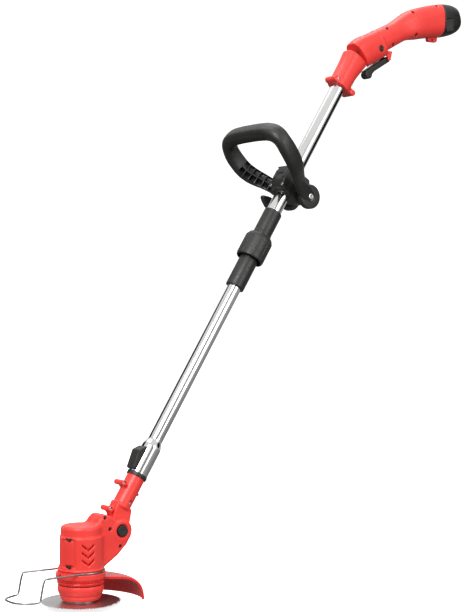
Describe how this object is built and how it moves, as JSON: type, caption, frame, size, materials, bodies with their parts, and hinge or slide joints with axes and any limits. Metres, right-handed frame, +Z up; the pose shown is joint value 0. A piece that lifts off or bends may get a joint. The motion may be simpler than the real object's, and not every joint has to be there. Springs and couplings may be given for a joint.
{
  "type": "cordless lawn edger",
  "caption": "Cordless telescopic lawn edger: toothed disc under a red motor head with rear guard and wire plant guard, tilting neck, loop handle and rear grip with battery.",
  "frame": {"origin": "on the cutter's axis at the free lower end of the spindle", "axes": "+Z up along the cutter's axis, +X towards the rear handle, in the plane of the pole; +Y to the tool's far side"},
  "size_m": [0.9871, 0.1889, 1.0803],
  "materials": {
    "bell_plastic": "moulded",
    "black_plastic": "fine grain",
    "blade_steel": "satin",
    "board": "solder mask",
    "brass": "plain",
    "cell_wrap": "shrink wrap",
    "flange_steel": "turned",
    "lead_rubber": "smooth",
    "magnet": "dull",
    "motor_steel": "zinc",
    "red_plastic": "semi-gloss",
    "screw_steel": "bright zinc",
    "shaft_steel": "ground",
    "spring_steel": "drawn",
    "switch_plastic": "moulded",
    "tube_steel": "polished",
    "winding": "lacquered wire",
    "wire_steel": "bright"
  },
  "bodies": {
    "rear_handle": {"handle_left": "red_plastic", "handle_right": "red_plastic", "handle_screws": "screw_steel", "trigger_pin": "shaft_steel", "switch_body": "switch_plastic", "lock_spring": "spring_steel", "socket_contacts": "brass", "upper_tube": "tube_steel", "coiled_lead": "lead_rubber", "collet_sleeve": "black_plastic", "upper_sleeve": "black_plastic", "clamp_front": "black_plastic", "clamp_rear": "black_plastic", "clamp_screws": "screw_steel"},
    "lock_collar": {"lock_collar": "black_plastic"},
    "lower_pole": {"lower_tube": "tube_steel", "neck_ring": "black_plastic", "tube_guide": "black_plastic", "straight_lead": "lead_rubber"},
    "wedge": {"wedge_button": "black_plastic"},
    "neck": {"neck_left": "red_plastic", "neck_right": "red_plastic", "neck_screws": "screw_steel"},
    "head": {"head_left": "red_plastic", "head_right": "red_plastic", "head_screws": "screw_steel", "guard": "red_plastic", "guard_screws": "screw_steel", "pivot_pin": "shaft_steel", "pivot_spring": "spring_steel", "motor_can": "motor_steel", "motor_magnets": "magnet", "motor_bell": "bell_plastic", "motor_brushes": "brass"},
    "tilt_button": {"pivot_button": "black_plastic"},
    "cutter": {"blade": "blade_steel", "inner_flange": "flange_steel", "outer_flange": "flange_steel", "blade_nut": "flange_steel", "motor_shaft": "shaft_steel", "hub_drum": "red_plastic", "motor_rotor": "winding"},
    "plant_guard": {"wire_guard": "wire_steel"},
    "loop": {"loop_handle": "black_plastic", "handle_bolt": "screw_steel", "bolt_washer": "screw_steel"},
    "lever": {"cam_lever": "black_plastic"},
    "trigger": {"trigger": "black_plastic"},
    "plunger": {"switch_plunger": "bell_plastic"},
    "lock": {"lock_button": "black_plastic"},
    "battery": {"battery_case": "black_plastic", "battery_cells": "cell_wrap", "battery_board": "board", "battery_contacts": "brass", "latch_springs": "spring_steel"},
    "latch_near": {"battery_latch_left": "black_plastic"},
    "latch_far": {"battery_latch_right": "black_plastic"}
  },
  "joints": [
    {"name": "telescope", "type": "slide", "parent": "rear_handle", "child": "lower_pole", "axis": [0.5383, 0, 0.8427], "range_m": [0, 0.24], "deforming": ["coiled_lead"]},
    {"name": "twist_lock", "type": "hinge", "parent": "rear_handle", "child": "lock_collar", "pos_m": [0.34, 0, 0.5708], "axis": [0.5383, 0, 0.8427], "range_deg": [-90, 0]},
    {"name": "head_turn", "type": "hinge", "parent": "lower_pole", "child": "neck", "pos_m": [0.1069, 0, 0.2059], "axis": [0.5383, 0, 0.8427], "range_deg": [0, 180]},
    {"name": "turn_release", "type": "slide", "parent": "lower_pole", "child": "wedge", "axis": [0.5383, 0, 0.8427], "range_m": [0, 0.006], "stiffness_N_per_m": 900, "springref_m": -0.003},
    {"name": "head_tilt", "type": "hinge", "parent": "neck", "child": "head", "pos_m": [0.0665, 0, 0.12], "axis": [0, 1, 0], "range_deg": [-45, 5]},
    {"name": "tilt_press", "type": "slide", "parent": "head", "child": "tilt_button", "axis": [0, 1, 0], "range_m": [0, 0.0018], "stiffness_N_per_m": 800, "springref_m": -0.003, "deforming": ["pivot_spring"]},
    {"name": "cutter_spin", "type": "hinge", "parent": "head", "child": "cutter", "pos_m": [0, 0, 0.01], "axis": [0, 0, 1], "continuous": true},
    {"name": "plant_guard_swing", "type": "hinge", "parent": "head", "child": "plant_guard", "pos_m": [0, 0, 0.0606], "axis": [0, 0, 1], "range_deg": [-50, 120]},
    {"name": "loop_tilt", "type": "hinge", "parent": "rear_handle", "child": "loop", "pos_m": [0.4533, 0, 0.6847], "axis": [0, 1, 0], "range_deg": [-20, 40]},
    {"name": "lever_turn", "type": "hinge", "parent": "loop", "child": "lever", "pos_m": [0.4533, 0.042, 0.6847], "axis": [0, 1, 0], "range_deg": [-60, 0]},
    {"name": "trigger_pull", "type": "hinge", "parent": "rear_handle", "child": "trigger", "pos_m": [0.6635, 0, 0.9574], "axis": [0, 1, 0], "range_deg": [0, 5], "stiffness_Nm_per_rad": 2, "springref_deg": -5.73},
    {"name": "plunger_press", "type": "slide", "parent": "rear_handle", "child": "plunger", "axis": [-0.5548, 0, 0.832], "range_m": [0, 0.003], "stiffness_N_per_m": 200, "springref_m": -0.002},
    {"name": "lock_press", "type": "slide", "parent": "rear_handle", "child": "lock", "axis": [0, 1, 0], "range_m": [0, 0.003], "stiffness_N_per_m": 500, "springref_m": -0.003, "deforming": ["lock_spring"]},
    {"name": "battery_pull", "type": "slide", "parent": "rear_handle", "child": "battery", "axis": [0.9781, 0, 0.2079], "range_m": [0, 0.06]},
    {"name": "latch_near_press", "type": "slide", "parent": "battery", "child": "latch_near", "axis": [0, 1, 0], "range_m": [0, 0.0018], "stiffness_N_per_m": 500, "springref_m": -0.003, "deforming": ["latch_springs"]},
    {"name": "latch_far_press", "type": "slide", "parent": "battery", "child": "latch_far", "axis": [0, -1, 0], "range_m": [0, 0.0018], "stiffness_N_per_m": 500, "springref_m": -0.003, "deforming": ["latch_springs"]}
  ],
  "couplings": [
    {"joint": "plunger_press", "follows": "trigger_pull", "m_per_rad": 0.02938}
  ]
}
